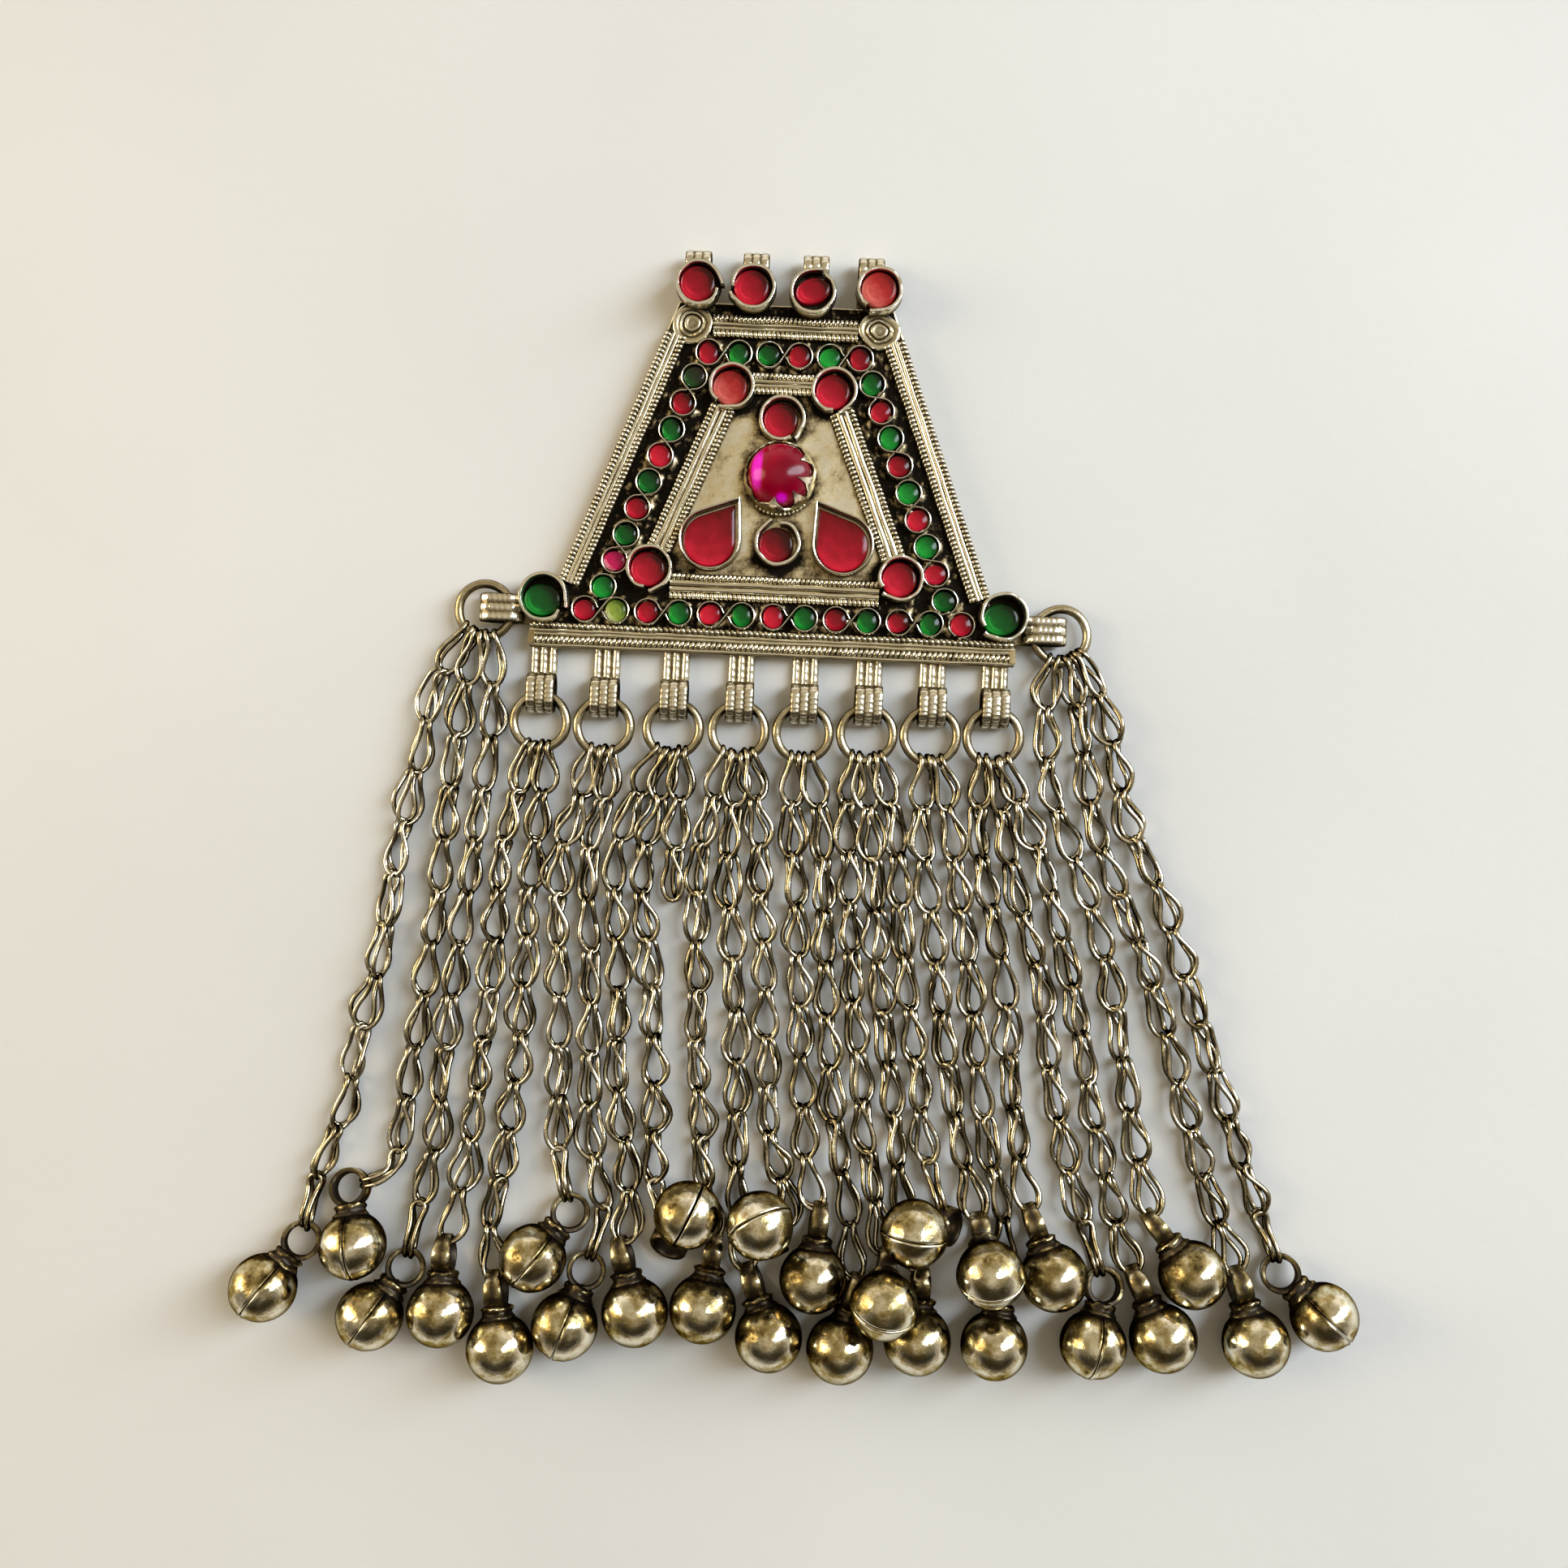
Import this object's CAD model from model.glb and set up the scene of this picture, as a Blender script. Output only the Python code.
import math
import random

import bmesh
import bpy
import numpy as np
from mathutils import Matrix, Vector


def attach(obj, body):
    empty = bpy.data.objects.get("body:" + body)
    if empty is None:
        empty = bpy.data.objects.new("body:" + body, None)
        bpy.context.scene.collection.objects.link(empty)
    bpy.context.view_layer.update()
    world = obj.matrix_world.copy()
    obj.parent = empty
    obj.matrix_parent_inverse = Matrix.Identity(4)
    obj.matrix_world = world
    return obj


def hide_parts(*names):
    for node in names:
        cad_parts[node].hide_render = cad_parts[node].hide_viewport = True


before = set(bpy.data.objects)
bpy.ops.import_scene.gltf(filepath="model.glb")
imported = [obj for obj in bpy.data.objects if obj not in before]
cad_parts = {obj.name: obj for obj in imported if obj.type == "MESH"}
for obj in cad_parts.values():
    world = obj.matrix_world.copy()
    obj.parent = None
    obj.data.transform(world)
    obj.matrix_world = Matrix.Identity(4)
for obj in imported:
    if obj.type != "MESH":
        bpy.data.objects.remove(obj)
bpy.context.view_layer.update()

MM = 0.001
TAU = 2 * math.pi
rng = random.Random(7)

# Sizes and places in millimetres, as in the source of the solids
AXIS_X = -7.65
PLATE_Y = 24.6
PLATE_H = 53.6
TOP_HALF = 16.4
BOTTOM_HALF = 36.9
SHEET_Z = 1.4
FACE_Z = 2.2
SLOPE = (BOTTOM_HALF - TOP_HALF) / PLATE_H
SIDE_ANGLE = math.atan(SLOPE)
STONE_GAP = 0.12

EDGE_W = 3.4
BOTTOM_W = 3.8
FRAME_W = 4.0
STRIP_BASE = 0.5
STRIP_INSET = 3.25
TOP_STRIP_Y = 74.5
TOP_STRIP_HALF = 11
SIDE_STRIP_Y = (34.5, 73)
FRAME_TOP_Y = 66
FRAME_TOP_HALF = 4.6
FRAME_BOTTOM_Y = 34.7
FRAME_BOTTOM_HALF = 15.9

FRAME_CORNERS = [(-7.8, 65.2), (7.8, 65.2), (-19.1, 37.2), (19.1, 37.2)]
FIELD_SETTINGS = [(0.1, 60.6), (0.2, 41.7)]
TOP_SETTINGS = [(-13.3, 80), (-5.15, 79.7), (3.9, 79.4), (13.9, 80.1)]
CORNER_SETTINGS = [(-34.85, 32), (34.85, 32)]
ROSETTES = [(-14.2, 74.7), (14.2, 74.7)]
SETTING_R = 3.55
TOP_SETTING_R = 3.5
CORNER_SETTING_R = 3.75
BORDER_R = 1.95
SETTING_WALL = 0.5
SETTING_RIM = 4.7
CORNER_RIM = 5.2
BORDER_RIM = 3.9
TOP_FLOOR_Z = 3.9
TOP_RIM = 6.4
CROWN_AT = (0.1, 51.8)
CROWN_R = 5.35
DROP_AT = (10.1, 41.9)
DROP_TIP = (5.7, 48.5)
DROP_R = 4.7
DROP_RIM = 4.5

BOTTOM_RINGS = [
    (-42.5, 13.2), (-32.8, 12.9), (-22.2, 13), (-12.2, 13.1),
    (-2.4, 13.2), (7.4, 13.4), (17.1, 13.6), (26.7, 13.8),
]
SIDE_RINGS = [(-51.6, 29.8), (36.3, 29.7)]
RINGS = BOTTOM_RINGS + SIDE_RINGS
RING_R = 4.05
RING_WIRE = 0.7
RING_Z = 2
BAIL_W = 4.4
BAIL_H = 4
BAIL_REACH = 1.65
BOTTOM_BAIL_L = 5.8
BOTTOM_STRAP_L = 7
SIDE_BAIL_X = (38.2, 44.6)
SIDE_BAIL_Y = 30.2
SIDE_STRAP_L = 6
TOP_BAILS = [-13.65, -4.85, 4.25, 12.65]
TOP_BAIL_Y = 83.7
TOP_BAIL_R = 2.2
TOP_BAIL_W = 4
TOP_STRAP_FROM = 75
STRAP_T = 1.4

BELL_R = 5.05
BELL_WALL = 0.6
BELL_LOOP_D = 8.5
BELL_LOOP_R = 3
BELL_LOOP_BORE = 2.15
BELL_LOOP_W = 3
LOW = 5.05
BELLS = [
    (-80, -73.9, LOW, 54, 17, 90), (-66.8, -67, LOW, 100, 17, 90),
    (-63.8, -77.5, LOW, 56, 17, 90), (-53.2, -76.5, LOW, 91, 13, 0),
    (-44, -81.5, LOW, 99, 13, 0), (-39.6, -67.7, LOW, 52, 17, 90),
    (-34.4, -77.7, LOW, 71, 17, 90), (-23.9, -75.2, LOW, 107, 13, 0),
    (-16.4, -59.1, 8.75, -115, 41, 90), (-13.7, -74.2, LOW, 82, 13, 0),
    (-5.6, -59.7, 10.5, -60, 60, 0), (-3.6, -78.1, LOW, 110, 13, 0),
    (2.7, -69, LOW, 86, 13, 0), (7.2, -79.4, LOW, 77, 13, 0),
    (13.1, -70.5, 11, 80, 66, 0), (17.2, -60.1, 9.8, -5, 50, 90),
    (18.8, -77.6, LOW, 88, 13, 0), (28.6, -65.5, 10.4, 100, 60, 0),
    (30.4, -77.8, LOW, 82, 13, 0), (39, -67.2, LOW, 112, 13, 0),
    (45.3, -77, LOW, 78, 17, 90), (55.8, -75.6, LOW, 116, 13, 0),
    (59.8, -65.9, LOW, 129, 13, 0), (69.8, -75.7, LOW, 106, 13, 0),
    (79.9, -71.3, LOW, 138, 17, 90),
]
# Chains: ring, place on it in degrees, bell, route
CHAINS = [
    (8, -45, 1, [(-58.6, 18), (-61, 6), (-63.4, -8), (-65.5, -24), (-68, -36), (-70, -47), (-73.4, -57)]),
    (8, -15, 2, [(-54.3, 17), (-55.4, 6), (-56.6, -8), (-58.2, -26), (-60, -41), (-61, -50), (-62, -56)]),
    (8, 15, 3, [(-50, 17), (-50.6, 6), (-52, -8), (-54, -26), (-55.1, -42), (-56, -54), (-57.8, -62)]),
    (0, -20, 4, [(-45.9, 0.5), (-47.5, -8), (-48.3, -26), (-49.7, -44), (-51.4, -57)]),
    (0, 20, 5, [(-41.8, 0.5), (-42.9, -8), (-43.3, -26), (-44, -43), (-45.6, -56), (-46.8, -65)]),
    (1, -20, 6, [(-36.6, 0.5), (-38.6, -8), (-38, -26), (-37.4, -42), (-36.8, -52)]),
    (1, 20, 7, [(-32.4, 0.5), (-34.3, -8), (-33, -26), (-32.6, -40), (-31.6, -52), (-29.6, -60.5)]),
    (2, -32, 8, [(-28, 0.5), (-30.3, -8), (-29, -26), (-28.6, -38), (-27, -50), (-25.8, -60)]),
    (2, 0, 9, [(-24.4, 0.5), (-26.2, -8), (-24, -25), (-22.8, -40), (-22.3, -54)]),
    (3, -32, 10, [(-16.2, 0.5), (-17.3, -8), (-17, -25), (-16, -40), (-14.6, -54)]),
    (3, 0, 12, [(-12.4, 0.5), (-12.8, -8), (-11.2, -25), (-10.2, -40), (-9.6, -52), (-8.8, -63)]),
    (3, 32, 11, [(-8.7, 0.5), (-7.9, -8), (-6.5, -24), (-5.7, -38), (-4.4, -50), (-1.4, -59)]),
    (4, -20, 13, [(-3.6, 0.5), (-2.7, -8), (-1.4, -24), (-0.4, -38), (0.8, -51)]),
    (4, 20, 14, [(0.7, 0.5), (1.7, -8), (2.7, -24), (4, -38), (6.1, -52), (8.3, -62)]),
    (5, -32, 15, [(4.7, 0.5), (5.6, -8), (6.8, -24), (8.4, -37), (10.4, -51), (11.7, -57, 2.2)]),
    (5, 0, 17, [(8.3, 0.5), (9.4, -8), (10.9, -24), (13, -38), (15, -52), (16.6, -61.5)]),
    (5, 32, 16, [(12, 0.5), (13.2, -8), (15.2, -24), (17.3, -38), (19.4, -50)]),
    (6, -20, 18, [(16.4, 0.5), (17.5, -8), (20, -24), (22.2, -38), (25, -51)]),
    (6, 20, 19, [(20.6, 0.5), (22.1, -8), (24.8, -24), (26.8, -38), (29, -50), (31.4, -59)]),
    (7, -32, 20, [(25.1, 0.5), (26.5, -8), (30.2, -24), (31.6, -38), (33.8, -51)]),
    (7, 0, 21, [(28.8, 0.5), (31, -8), (35.6, -23), (38, -38), (41, -51), (44, -60)]),
    (7, 32, 22, [(32.8, 0.5), (36, -8), (40.4, -23), (43.5, -38), (46.6, -52), (49.4, -61)]),
    (9, -15, 23, [(34.4, 17), (35.6, 8), (38, 0), (41.6, -8), (46, -22), (49.3, -38), (51.8, -50)]),
    (9, 15, 24, [(39.6, 18), (41.4, 8), (43, 0), (46.6, -8), (52.4, -22), (57.5, -38), (61.5, -51),
                  (64.6, -59)]),
    (9, 45, 25, [(43.4, 19), (46.4, 8), (48.6, 0), (52.8, -8), (57.8, -22), (63.6, -38), (68.4, -52),
                  (71.6, -60)]),
]
STUB = (2, 32, [(-20.8, 0.5), (-21.2, -7), (-20.9, -13.3)])
CHAIN_LIE = 1.7

# Heights at which the walls on the sheet and the stones begin
ON_SHEET = FACE_Z - 0.05
STONE_FOOT = FACE_Z + STONE_GAP


def half_width(y):
    return BOTTOM_HALF - (y - PLATE_Y) * SLOPE


def on_plate(places):
    """Places given from the plate's middle line, as places in the scene."""
    return [(AXIS_X + x, y) for x, y in places]


# The camera looks straight down on the pendant and is turned a little
CAMERA_AT = (-4.9, 5.3, 230)
CAMERA_TURN = 2.5
SENSOR = 36
FLOOR_SEEN = 241.5
camera_data = bpy.data.cameras.new("camera")
camera_data.sensor_width = SENSOR
camera_data.lens = SENSOR * CAMERA_AT[2] / FLOOR_SEEN
camera_data.clip_start = 0.01
camera = bpy.data.objects.new("camera", camera_data)
camera.location = Vector(CAMERA_AT) * MM
camera.rotation_euler = (0, 0, math.radians(CAMERA_TURN))
bpy.context.scene.collection.objects.link(camera)
bpy.context.scene.camera = camera


# Shapes

def clip01(v):
    return np.clip(v, 0, 1)


def ease(t):
    t = clip01(t)
    return t * t * (3 - 2 * t)


def waves(x, y, size, seed):
    """Soft unevenness between about -1 and 1, the same each run."""
    total = 0
    for k in range(6):
        turn = seed * 1.37 + k * 2.4
        rate = TAU / size * (0.6 + 0.3 * k)
        total = total + np.sin(rate * (x * math.cos(turn) + y * math.sin(turn)) + seed * 2.1 + k * k)
    return total * 0.3


def unit(v):
    return v / np.linalg.norm(v, axis=-1, keepdims=True)


def turn_round(count):
    return np.arange(count) * TAU / count


def turned(a, b, angle):
    return a * np.cos(angle) - b * np.sin(angle), a * np.sin(angle) + b * np.cos(angle)


def circle(angles, r, z=0.0, centre=(0, 0)):
    """Points on a level circle, one for each angle."""
    x = centre[0] + r * np.cos(angles)
    y = centre[1] + r * np.sin(angles)
    return np.stack([x, y, np.broadcast_to(np.asarray(z, float), x.shape)], -1)


def ring_waves(angles, reach, size, seed, shift=0.0):
    return waves(np.cos(angles) * reach, np.sin(angles) * reach + shift, size, seed)


class Shape:
    """Points in millimetres and faces, with two marks at each point for the materials."""

    def __init__(self):
        self.points = []
        self.marks = {"wear": [], "tint": []}
        self.faces = []
        self.count = 0

    def add(self, points, faces, wear, tint=0.0):
        points = np.asarray(points, float).reshape(-1, 3)
        self.points.append(points)
        for label, value in (("wear", wear), ("tint", tint)):
            self.marks[label].append(np.broadcast_to(np.asarray(value, float).reshape(-1), len(points)))
        self.faces += [tuple(int(n) + self.count for n in f) for f in faces]
        self.count += len(points)

    def grid(self, points, wear, tint=0.0, wrap_rows=False, wrap=False, caps=False):
        """Rows of points; a mark is one number, one a row or one a point."""
        points = np.asarray(points, float)
        n, m = points.shape[:2]
        i = np.arange(n if wrap_rows else n - 1)[:, None]
        j = np.arange(m if wrap else m - 1)[None, :]
        i2 = (i + 1) % n
        j2 = (j + 1) % m
        quads = np.stack(np.broadcast_arrays(i * m + j, i * m + j2, i2 * m + j2, i2 * m + j), -1)
        faces = quads.reshape(-1, 4).tolist()
        if caps:
            faces += [list(range(m)), [(n - 1) * m + k for k in range(m)]]
        marks = [np.asarray(v, float) for v in (wear, tint)]
        self.add(points, faces, *[np.broadcast_to(v[:, None] if v.ndim == 1 else v, (n, m)) for v in marks])

    def closed(self, rows, wear, tint=0.0):
        """Rows of closed outlines, with both ends capped."""
        self.grid(rows, wear, tint, wrap=True, caps=True)


def make_piece(name, shape, material, nodes, sharp=38, move=None):
    """Turns a shape into an object in metres that rides on the part and stands for its solids."""
    points = np.vstack(shape.points)
    if move is not None:
        turn = np.array(move.to_3x3())
        points = points @ turn.T + np.array(move.translation)
    mesh = bpy.data.meshes.new(name)
    mesh.from_pydata((points * MM).tolist(), [], shape.faces)
    for label, values in shape.marks.items():
        layer = mesh.attributes.new(label, "FLOAT", "POINT")
        layer.data.foreach_set("value", np.concatenate(values).astype(np.float32))
    work = bmesh.new()
    work.from_mesh(mesh)
    bmesh.ops.recalc_face_normals(work, faces=work.faces)
    work.to_mesh(mesh)
    work.free()
    mesh.polygons.foreach_set("use_smooth", np.ones(len(mesh.polygons), bool))
    mesh.set_sharp_from_angle(angle=math.radians(sharp))
    mesh.materials.append(material)
    piece = bpy.data.objects.new(name, mesh)
    bpy.context.scene.collection.objects.link(piece)
    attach(piece, "root")
    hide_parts(*nodes)


def lathe(shape, centre, profile, segments=48, uneven=0.0, seed=1):
    """Turns rows of radius, height and wear about an upright axis; its ends are closed."""
    angles = turn_round(segments)
    rows = [circle(angles, r * (1 + uneven * waves(angles * 3, angles * 0 + z, 9, seed)), z, centre)
            for r, z, _ in profile]
    shape.closed(rows, [p[2] for p in profile])


def plan_normals(path, closed):
    before = np.roll(path, 1, 0)
    after = np.roll(path, -1, 0)
    if not closed:
        before[0] = path[0]
        after[-1] = path[-1]
    along = unit(after - before)
    return np.stack([along[:, 1], -along[:, 0]], -1)


# A band's section: share of the half wall, share of the height, wear
BAND = np.array([(-1.15, 0, 0.05), (-1, 0.45, 0.35), (-1, 0.88, 0.8), (-0.6, 0.98, 1), (0, 1, 1),
                 (0.6, 0.98, 1), (1, 0.88, 0.85), (1, 0.45, 0.5), (1.15, 0, 0.05)])


def band(shape, path, wall, low, high, closed, seed):
    """A strip of metal standing on edge along a plan path, with a rounded rim."""
    path = np.asarray(path, float)
    across = plan_normals(path, closed)
    top = high + 0.06 * waves(path[:, 0], path[:, 1], 3.5, seed)
    rows = [np.column_stack([path + across * off * wall / 2, low + (top - low) * rise])
            for off, rise, _ in BAND]
    wear = np.repeat(BAND[None, :, 2], len(path), 0)
    shape.grid(np.stack(rows, 1), wear, wrap_rows=closed, wrap=True, caps=not closed)


def arc(centre, r, start, end, count):
    return circle(np.radians(np.linspace(start, end, count)), r, 0, centre)[:, :2]


def tube(shape, path, radius, sides, closed, wear, rub=0.2):
    """A round wire along a path of points in space, rubbed bright on its upper side."""
    path = np.asarray(path, float)
    n = len(path)
    ahead = np.roll(path, -1, 0) - np.roll(path, 1, 0)
    if not closed:
        ahead[0] = path[1] - path[0]
        ahead[-1] = path[-1] - path[-2]
    ahead = unit(ahead)
    first = np.cross(ahead[0], (0, 0, 1))
    if np.linalg.norm(first) < 0.2:
        first = np.cross(ahead[0], (1, 0, 0))
    normals = [unit(first)]
    for k in range(1, n):
        normals.append(unit(normals[-1] - ahead[k] * np.dot(normals[-1], ahead[k])))
    normals = np.array(normals)
    sideways = np.cross(ahead, normals)
    twist = np.zeros(n)
    if closed:
        back = unit(normals[-1] - ahead[0] * np.dot(normals[-1], ahead[0]))
        twist = -math.atan2(np.dot(back, sideways[0]), np.dot(back, normals[0])) * np.arange(n) / n
    spin = (turn_round(sides)[None, :] + twist[:, None])[..., None]
    radius = np.broadcast_to(np.asarray(radius, float), (n,))[:, None, None]
    out = radius * (np.cos(spin) * normals[:, None] + np.sin(spin) * sideways[:, None])
    lit = out[..., 2] / radius[..., 0]
    wear = np.clip(wear + rub * lit * np.abs(lit), 0.16, 1)
    shape.grid(path[:, None] + out, wear, wrap_rows=closed, wrap=True, caps=not closed)


# Materials

class Tree:
    """The nodes of a material or of the world, added one by one."""

    def __init__(self, owner):
        owner.use_nodes = True
        self.nodes = owner.node_tree.nodes
        self.links = owner.node_tree.links

    def fill(self, node, inputs):
        """Links a node's sockets, or sets them where the value is a number or a colour."""
        for label, value in inputs.items():
            socket = node.inputs[label]
            if isinstance(value, bpy.types.NodeSocket):
                self.links.new(value, socket)
            else:
                socket.default_value = (*value, 1) if socket.type == "RGBA" else value

    def add(self, kind, inputs, **settings):
        node = self.nodes.new("ShaderNode" + kind)
        for label, value in settings.items():
            setattr(node, label, value)
        self.fill(node, inputs)
        return node

    def noise(self, scale, detail, rough, stretch=(1, 1, 1), offset=0.0):
        place = self.add("TexCoord", {}).outputs["Object"]
        shift = (offset, offset * 0.7, offset * 0.3)
        place = self.add("Mapping", {"Vector": place, "Location": shift, "Scale": stretch}).outputs["Vector"]
        inputs = {"Vector": place, "Scale": scale, "Detail": detail, "Roughness": rough}
        return self.add("TexNoise", inputs).outputs["Fac"]

    def mark(self, label):
        return self.add("Attribute", {}, attribute_name=label).outputs["Fac"]

    def sum(self, a, b, weight, shift=0.0, clamp=False):
        """a plus weight times b plus shift."""
        part = self.add("Math", {0: b, 1: weight, 2: shift}, operation="MULTIPLY_ADD").outputs[0]
        return self.add("Math", {0: a, 1: part}, operation="ADD", use_clamp=clamp).outputs[0]

    def ramp(self, value, stops):
        """Colours, or greys given as one number, by value."""
        ramp = self.add("ValToRGB", {"Fac": value})
        elements = ramp.color_ramp.elements
        while len(elements) < len(stops):
            elements.new(0.5)
        for element, (at, colour) in zip(elements, stops):
            element.position = at
            element.color = (*(colour if isinstance(colour, tuple) else [colour] * 3), 1)
        return ramp.outputs["Color"]

    def mix(self, fac, a, b):
        return self.add("Mix", {"Factor": fac, "A": a, "B": b}, data_type="RGBA").outputs["Result"]

    def bump(self, height, strength, distance):
        inputs = {"Strength": strength, "Distance": distance, "Height": height}
        return self.add("Bump", inputs).outputs["Normal"]


def new_material(name, make):
    """A material whose main shader is fed by what make returns for its tree."""
    material = bpy.data.materials.new(name)
    tree = Tree(material)
    tree.fill(tree.nodes["Principled BSDF"], make(tree))
    return material


def aged_metal(name, black, brown, warm, bright, rough, blotch=320, grain=2600, patch=0.5, speck=0.35,
               relief=0.00008, tint=None, edge=(0.6, 0.55, 0.45)):
    """Worn white metal: black oxide where wear is low, warm tarnish, bright where it is rubbed."""
    def make(tree):
        wear = tree.mark("wear")
        large = tree.noise(blotch, 4, 0.6)
        fine = tree.noise(grain, 5, 0.65, offset=3.1)
        value = tree.sum(wear, large, patch, -patch / 2)
        value = tree.sum(value, fine, speck, -speck / 2, clamp=True)
        colour = tree.ramp(value, [(0.12, black), (0.34, brown), (0.62, warm), (0.95, bright)])
        if tint is not None:
            colour = tree.mix(tree.mark("tint"), colour, tint)
        scratch = tree.noise(1500, 3, 0.6, stretch=(1, 6, 1), offset=7.7)
        gloss = tree.ramp(value, [(0.1, rough[0]), (0.9, rough[1])])
        gloss = tree.sum(gloss, scratch, 0.18, -0.09, clamp=True)
        normal = tree.bump(tree.sum(large, fine, 0.6), 0.5, relief)
        return {"Base Color": colour, "Roughness": gloss, "Metallic": 1, "Specular Tint": edge,
                "Normal": normal}
    return new_material(name, make)


plate_metal = aged_metal("plate_metal", (0.026, 0.02, 0.013), (0.2, 0.155, 0.085), (0.68, 0.6, 0.41),
                         (0.96, 0.92, 0.78), rough=(0.55, 0.16), tint=(0.55, 0.4, 0.16))
rim_metal = aged_metal("rim_metal", (0.018, 0.014, 0.01), (0.2, 0.165, 0.105), (0.76, 0.7, 0.54),
                       (0.98, 0.96, 0.88), rough=(0.5, 0.18), patch=0.4)
field_metal = aged_metal("field_metal", (0.014, 0.011, 0.008), (0.26, 0.195, 0.105), (0.78, 0.65, 0.4),
                         (0.96, 0.92, 0.78), rough=(0.6, 0.3), blotch=340, speck=0.7)
bail_metal = aged_metal("bail_metal", (0.025, 0.02, 0.014), (0.28, 0.225, 0.13), (0.82, 0.75, 0.57),
                        (0.98, 0.96, 0.88), rough=(0.48, 0.14))
wire_metal = aged_metal("wire_metal", (0.004, 0.003, 0.002), (0.034, 0.024, 0.01), (0.58, 0.49, 0.3),
                        (1.0, 0.97, 0.88), rough=(0.34, 0.07), blotch=420, patch=0.85, speck=0.4,
                        edge=(0.05, 0.04, 0.025))
ring_metal = aged_metal("ring_metal", (0.02, 0.015, 0.008), (0.12, 0.09, 0.045), (0.38, 0.31, 0.18),
                        (0.8, 0.73, 0.55), rough=(0.5, 0.18), patch=0.8, edge=(0.1, 0.08, 0.05))
bell_metal = aged_metal("bell_metal", (0.006, 0.004, 0.003), (0.1, 0.07, 0.025), (0.5, 0.4, 0.18),
                        (0.98, 0.94, 0.78), rough=(0.45, 0.08), blotch=420, grain=1300, patch=1.3,
                        speck=0.7, relief=0.00012, tint=(0.13, 0.105, 0.08), edge=(0.2, 0.16, 0.1))


def glass(name, deep, body, glow, rough=0.04, cloud=500, coat=0.08):
    """Coloured glass over foil: its wear mark says where light gathers in it."""
    def make(tree):
        lit = tree.mark("wear")
        mark = tree.mark("tint")
        cloudy = tree.noise(cloud, 3, 0.5)
        fleck = tree.noise(2600, 2, 0.5, offset=5.2)
        value = tree.sum(lit, cloudy, 0.35, -0.17)
        value = tree.sum(value, fleck, 0.12, -0.06, clamp=True)
        colour = tree.ramp(value, [(0.05, deep), (0.5, body), (0.95, glow)])
        colour = tree.mix(mark, colour, (0.02, 0.005, 0.01))
        scratch = tree.noise(900, 4, 0.7, stretch=(1, 9, 1), offset=2.2)
        gloss = tree.ramp(scratch, [(0.35, rough), (0.75, rough + 0.1)])
        normal = tree.bump(tree.sum(cloudy, scratch, 0.4), 0.25, 0.00006)
        return {"Base Color": colour, "Roughness": gloss, "IOR": 1.4, "Coat Weight": coat,
                "Coat Roughness": 0.03, "Normal": normal}
    return new_material(name, make)


magenta = glass("magenta_glass", (0.08, 0.0, 0.004), (0.42, 0.0, 0.03), (1.0, 0.0, 0.85), rough=0.11,
                cloud=260, coat=0.0)
ruby = glass("red_glass", (0.035, 0.0, 0.001), (0.33, 0.001, 0.014), (0.78, 0.015, 0.05))
salmon = glass("salmon_glass", (0.12, 0.002, 0.003), (0.43, 0.02, 0.022), (0.8, 0.16, 0.14), rough=0.14,
               cloud=900)
pink = glass("pink_glass", (0.2, 0.0, 0.03), (0.7, 0.012, 0.12), (1.0, 0.45, 0.55), cloud=1400)
pale = glass("pale_green_glass", (0.05, 0.09, 0.008), (0.3, 0.4, 0.06), (0.75, 0.8, 0.4), cloud=1400)
emerald = glass("green_glass", (0.0, 0.012, 0.002), (0.0, 0.1, 0.012), (0.01, 0.4, 0.045))


# The floor

def paper(tree):
    patches = tree.noise(9, 3, 0.5)
    colour = tree.ramp(patches, [(0.3, (0.79, 0.79, 0.785)), (0.7, (0.86, 0.86, 0.86))])
    normal = tree.bump(tree.noise(420, 5, 0.6, offset=1.3), 0.12, 0.0004)
    return {"Base Color": colour, "Roughness": 0.7, "Normal": normal}


FLOOR_HALF = 6.0
floor_corners = [(x * FLOOR_HALF, y * FLOOR_HALF, 0) for x, y in ((-1, -1), (1, -1), (1, 1), (-1, 1))]
floor_mesh = bpy.data.meshes.new("floor")
floor_mesh.from_pydata(floor_corners, [], [(0, 1, 2, 3)])
floor_mesh.materials.append(new_material("floor", paper))
floor = bpy.data.objects.new("floor", floor_mesh)
bpy.context.scene.collection.objects.link(floor)


# The plate

def border_side(i):
    y = 66.4 + (34 - 66.4) * i / 8
    return half_width(y) - 7.4, y


BORDER_TOP = [(11.5 * (i / 2.5 - 1), 70.2) for i in range(6)]
BORDER_BOTTOM = [(28.6 * (i / 6 - 1), 30.5) for i in range(13)]
BORDER_RIGHT = [border_side(i) for i in range(9)]
BORDER_LEFT = [(-x, y) for x, y in BORDER_RIGHT]
BORDER = BORDER_TOP + BORDER_BOTTOM + BORDER_LEFT + BORDER_RIGHT
BORDER_GREEN = [0, 1, 1, 0, 1, 0] + [i % 2 for i in range(13)] + [1 - i % 2 for i in range(9)] * 2


def near_rings(x, y, places, r):
    """Distance from each point to the nearest of some circles."""
    return np.min([np.abs(np.hypot(x - px, y - py) - r) for px, py in places], 0)


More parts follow.
